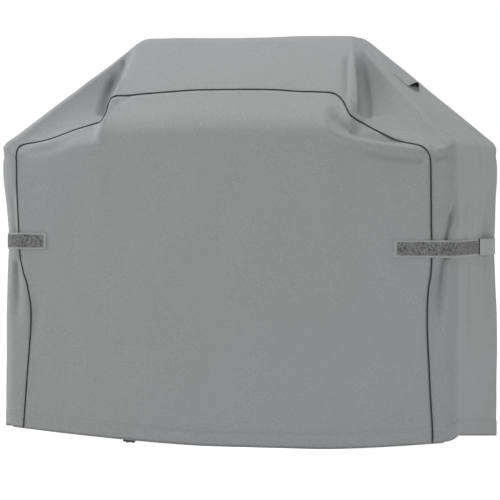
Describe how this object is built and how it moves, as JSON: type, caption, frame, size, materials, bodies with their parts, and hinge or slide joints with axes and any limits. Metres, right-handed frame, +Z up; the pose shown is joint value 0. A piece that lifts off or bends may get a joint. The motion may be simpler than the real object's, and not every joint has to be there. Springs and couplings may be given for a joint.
{
  "type": "grill cover",
  "caption": "Fitted fabric cover for a barbecue grill with a sloped lid, piped seams, hooded side vents, hook-and-loop side straps and a hem drawcord.",
  "frame": {"origin": "middle of the footprint, on the ground", "axes": "+X along the width, to the right of someone who faces the front; +Y to the back; +Z up"},
  "size_m": [1.4308, 0.6239, 1.219],
  "materials": {
    "fabric": "matt woven polyester with a coated inside",
    "piping": "black bias-cut piping with a slight sheen",
    "cord": "black braided elastic",
    "hook_and_loop": "dark fuzzy hook-and-loop",
    "vent_mesh": "black knitted mesh",
    "plastic": "fine matt moulded",
    "metal": "plated"
  },
  "bodies": {
    "cover": {"front_panel": "fabric", "back_panel": "fabric", "top_and_side_band": "fabric", "front_piping": "piping", "back_piping": "piping", "hem_casing": "fabric", "hem_drawcord": "cord", "left_cord_eyelet": "metal", "right_cord_eyelet": "metal", "cord_end_bead": "plastic", "left_strap_base": "fabric", "left_loop_tape": "hook_and_loop", "right_strap_base": "fabric", "right_loop_tape": "hook_and_loop", "left_vent_hood": "fabric", "left_vent_stay": "plastic", "left_vent_mesh": "vent_mesh", "right_vent_hood": "fabric", "right_vent_stay": "plastic", "right_vent_mesh": "vent_mesh"},
    "left_strap_tab": {"left_tab": "fabric", "left_hook_tape": "hook_and_loop"},
    "right_strap_tab": {"right_tab": "fabric", "right_hook_tape": "hook_and_loop"},
    "cord_lock": {"cord_lock_body": "plastic", "cord_lock_spring": "metal"},
    "lock_plunger": {"cord_lock_plunger": "plastic"}
  },
  "joints": [
    {"name": "left_tab_peel", "type": "hinge", "parent": "cover", "child": "left_strap_tab", "pos_m": [-0.7015, 0.268, 0.604], "axis": [0, 0, -1], "range_deg": [0, 170]},
    {"name": "right_tab_peel", "type": "hinge", "parent": "cover", "child": "right_strap_tab", "pos_m": [0.7015, 0.268, 0.586], "axis": [0, 0, 1], "range_deg": [0, 170]},
    {"name": "cord_lock_slide", "type": "slide", "parent": "cover", "child": "cord_lock", "axis": [0, 1, 0], "range_m": [0, 0.028]},
    {"name": "plunger_press", "type": "slide", "parent": "cord_lock", "child": "lock_plunger", "axis": [1, 0, 0], "range_m": [0, 0.004], "stiffness_N_per_m": 600, "springref_m": -0.003, "deforming": ["cord_lock_spring"]}
  ]
}
